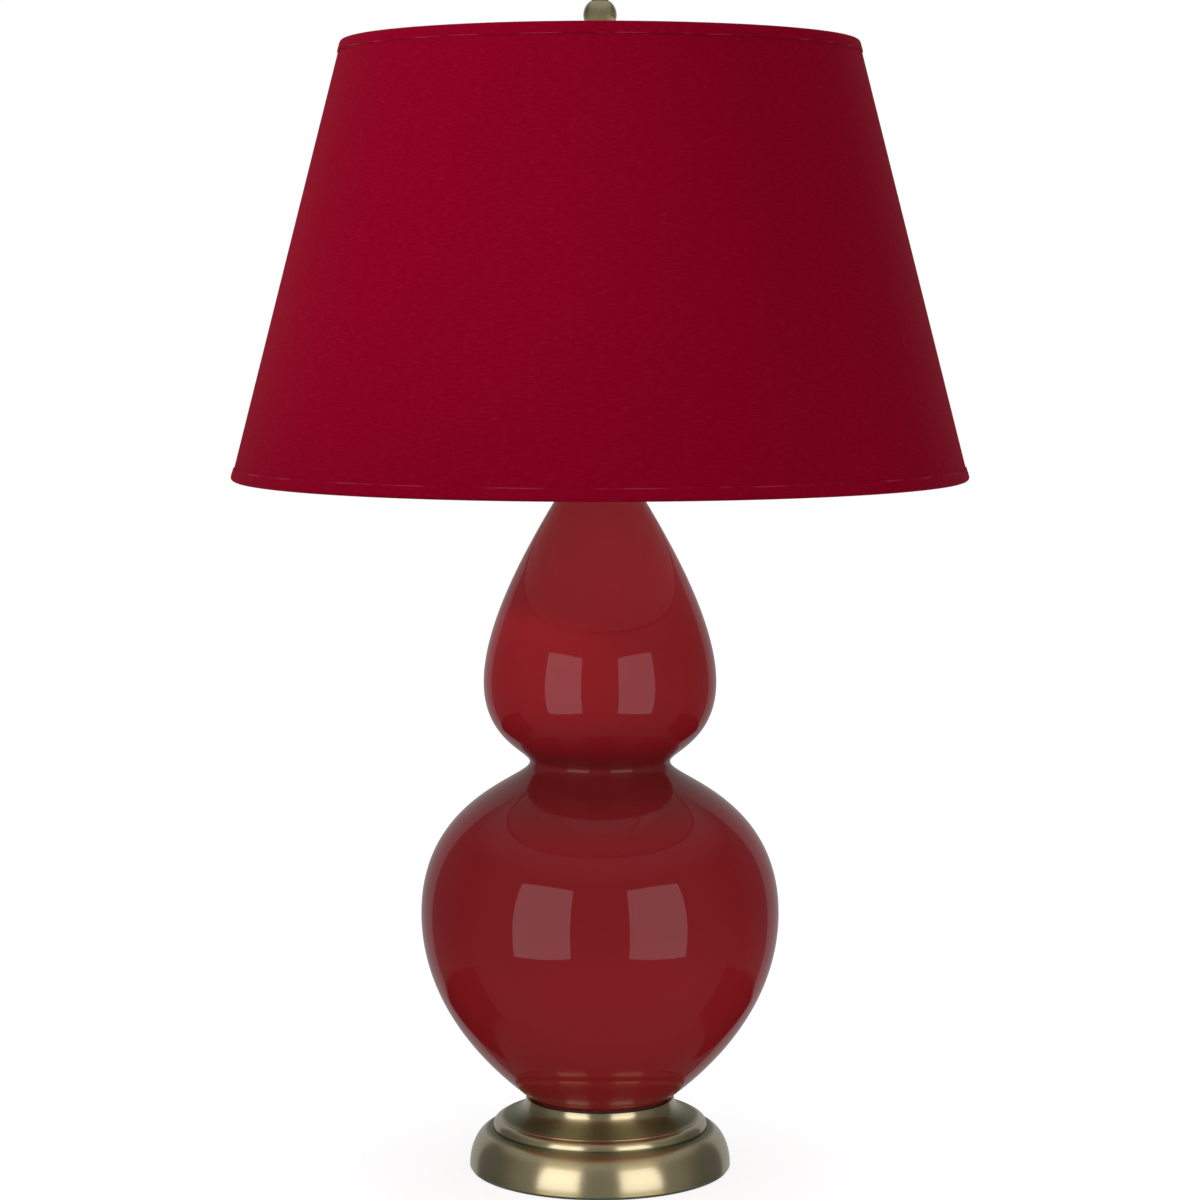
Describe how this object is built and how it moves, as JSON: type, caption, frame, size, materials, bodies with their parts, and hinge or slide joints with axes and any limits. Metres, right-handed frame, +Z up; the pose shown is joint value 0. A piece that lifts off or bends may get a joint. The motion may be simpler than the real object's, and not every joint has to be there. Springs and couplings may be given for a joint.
{
  "type": "table lamp",
  "caption": "Table lamp with a double gourd ceramic body on a spun brass base, a tapered fabric shade on a harp, a screw socket with turn knob, a bulb and a ball finial.",
  "frame": {"origin": "centre of the underside of the base, on the surface it stands on", "axes": "+Z up the lamp's axis; -Y the front, where the switch knob points; +Y the back, where the cord leaves; the harp stands in the XZ plane"},
  "size_m": [0.5044, 0.5044, 0.811],
  "materials": {
    "antique_brass": "satin antique brass, brushed and lacquered",
    "socket_brass": "thin bright brass shell",
    "harp_finish": "brass-plated steel wire and turned parts",
    "zinc_steel": "zinc-plated",
    "white_steel": "white enamel on wire",
    "iron": "raw casting",
    "felt": "dark green wool felt",
    "seat_rubber": "matte",
    "red_glaze": "deep red glossy glaze",
    "red_fabric": "deep red woven fabric",
    "styrene": "white, matte",
    "liner_card": "plain fibre tube",
    "phenolic": "black moulded",
    "knob_black": "black moulded",
    "bushing_nylon": "brown moulded",
    "bulb_white": "soft white frosted",
    "bulb_black_glass": "black insulator",
    "screw_aluminium": "drawn",
    "tip_solder": "solder"
  },
  "bodies": {
    "lamp": {"felt_pad": "felt", "base_shell": "antique_brass", "base_weight": "iron", "cord_bushing": "bushing_nylon", "centre_rod": "zinc_steel", "rod_washer": "zinc_steel", "lock_washer": "zinc_steel", "rod_nut": "zinc_steel", "foot_seat": "seat_rubber", "gourd_body": "red_glaze", "cap_seat": "seat_rubber", "vase_cap": "antique_brass", "neck_riser": "antique_brass", "harp_saddle": "harp_finish", "socket_cap": "socket_brass", "socket_set_screw": "zinc_steel", "socket_shell": "socket_brass", "socket_liner": "liner_card", "socket_core": "phenolic", "terminal_screws": "zinc_steel", "screw_shell": "screw_aluminium", "centre_contact": "socket_brass"},
    "harp": {"harp_wire": "harp_finish"},
    "ferrule_left": {"ferrule_left": "harp_finish"},
    "ferrule_right": {"ferrule_right": "harp_finish"},
    "stud": {"harp_stud": "harp_finish"},
    "shade": {"spider_hub": "white_steel", "spider_arms": "white_steel", "shade_top_ring": "white_steel", "shade_bottom_ring": "white_steel", "shade_fabric": "red_fabric", "shade_liner": "styrene"},
    "finial_insert": {"finial_insert": "socket_brass"},
    "finial": {"finial_knob": "antique_brass"},
    "switch": {"switch_spindle": "zinc_steel", "switch_knob": "knob_black"},
    "bulb_contact": {"bulb_tip": "tip_solder"},
    "bulb": {"bulb_insulator": "bulb_black_glass", "bulb_cap": "screw_aluminium", "bulb_glass": "bulb_white"}
  },
  "joints": [
    {"name": "switch_turn", "type": "hinge", "parent": "lamp", "child": "switch", "pos_m": [0, -0.03, 0.546], "axis": [0, -1, 0], "continuous": true},
    {"name": "harp_lift", "type": "slide", "parent": "lamp", "child": "harp", "axis": [0, 0, 1], "range_m": [0, 0.02]},
    {"name": "ferrule_left_slide", "type": "slide", "parent": "harp", "child": "ferrule_left", "axis": [0, 0, 1], "range_m": [0, 0.014]},
    {"name": "ferrule_right_slide", "type": "slide", "parent": "harp", "child": "ferrule_right", "axis": [0, 0, 1], "range_m": [0, 0.014]},
    {"name": "stud_swivel", "type": "hinge", "parent": "harp", "child": "stud", "pos_m": [0, 0, 0.766], "axis": [0, 0, 1], "continuous": true},
    {"name": "shade_lift", "type": "slide", "parent": "stud", "child": "shade", "axis": [0, 0, 1], "range_m": [0, 0.016]},
    {"name": "finial_lift", "type": "slide", "parent": "shade", "child": "finial_insert", "axis": [0, 0, 1], "range_m": [0, 0.0115]},
    {"name": "finial_turn", "type": "hinge", "parent": "finial_insert", "child": "finial", "pos_m": [0, 0, 0.7705], "axis": [0, 0, 1], "range_deg": [0, 4320]},
    {"name": "bulb_lift", "type": "slide", "parent": "lamp", "child": "bulb_contact", "axis": [0, 0, 1], "range_m": [0, 0.022]},
    {"name": "bulb_turn", "type": "hinge", "parent": "bulb_contact", "child": "bulb", "pos_m": [0, 0, 0.558], "axis": [0, 0, 1], "range_deg": [0, 2160]}
  ],
  "couplings": [
    {"joint": "finial_lift", "follows": "finial_turn", "m_per_rad": 0.00014972},
    {"joint": "bulb_lift", "follows": "bulb_turn", "m_per_rad": 0.00057757}
  ]
}
